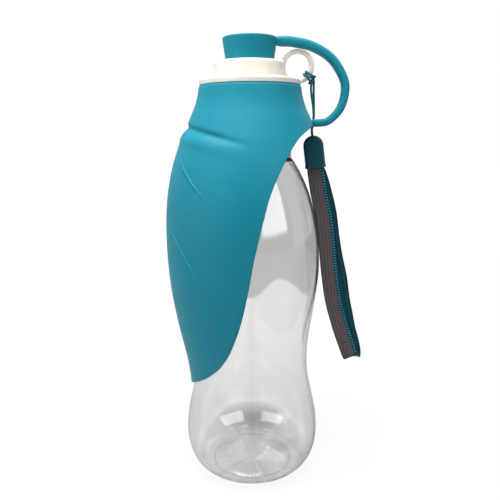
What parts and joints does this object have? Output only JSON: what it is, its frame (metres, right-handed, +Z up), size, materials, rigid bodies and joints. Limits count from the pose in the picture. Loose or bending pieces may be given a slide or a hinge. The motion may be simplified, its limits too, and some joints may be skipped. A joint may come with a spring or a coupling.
{
  "type": "dog travel water bottle",
  "caption": "Clear bottle with a screw cap, spout plug on a strap, a soft leaf-shaped sleeve that turns up into a drinking bowl, and a wrist lanyard.",
  "frame": {"origin": "on the bottle's axis at the plane of its flat standing ring, so the object stands on z = 0", "axes": "+Z up along the bottle's axis; the side ring, the strap and the lanyard are on the +X side and the leaf hangs on the -X side"},
  "size_m": [0.1143, 0.0954, 0.2476],
  "materials": {
    "bottle_clear": "clear, glossy",
    "seal_silicone": "matte",
    "cap_white": "satin",
    "leaf_silicone": "matte silicone",
    "cord_teal": "braided",
    "end_teal": "satin",
    "webbing_brown": "woven, fine lengthwise ribs"
  },
  "bodies": {
    "bottle": {"bottle": "bottle_clear"},
    "seal": {"cap_seal": "seal_silicone"},
    "head": {"cap": "cap_white", "leaf_sleeve": "leaf_silicone", "plug_strap": "leaf_silicone"},
    "plug": {"plug": "leaf_silicone"},
    "lanyard": {"wrist_cord": "cord_teal", "cord_knot": "cord_teal", "cord_end": "end_teal", "wrist_webbing": "webbing_brown"}
  },
  "joints": [
    {"name": "cap_rise", "type": "slide", "parent": "bottle", "child": "seal", "axis": [0, 0, 1], "range_m": [0, 0.0061]},
    {"name": "cap_turn", "type": "hinge", "parent": "seal", "child": "head", "pos_m": [0, 0, 0.2195], "axis": [0, 0, 1], "range_deg": [0, 540]},
    {"name": "plug_flip", "type": "hinge", "parent": "head", "child": "plug", "pos_m": [0.042, 0, 0.237], "axis": [0, 1, 0], "range_deg": [0, 120], "deforming": ["plug_strap"]},
    {"name": "lanyard_swing", "type": "hinge", "parent": "head", "child": "lanyard", "pos_m": [0.0315, 0, 0.22634], "axis": [0, -1, 0], "range_deg": [0, 110], "deforming": ["wrist_cord"]}
  ],
  "couplings": [
    {"joint": "cap_rise", "follows": "cap_turn", "m_per_rad": 0.00063662}
  ]
}
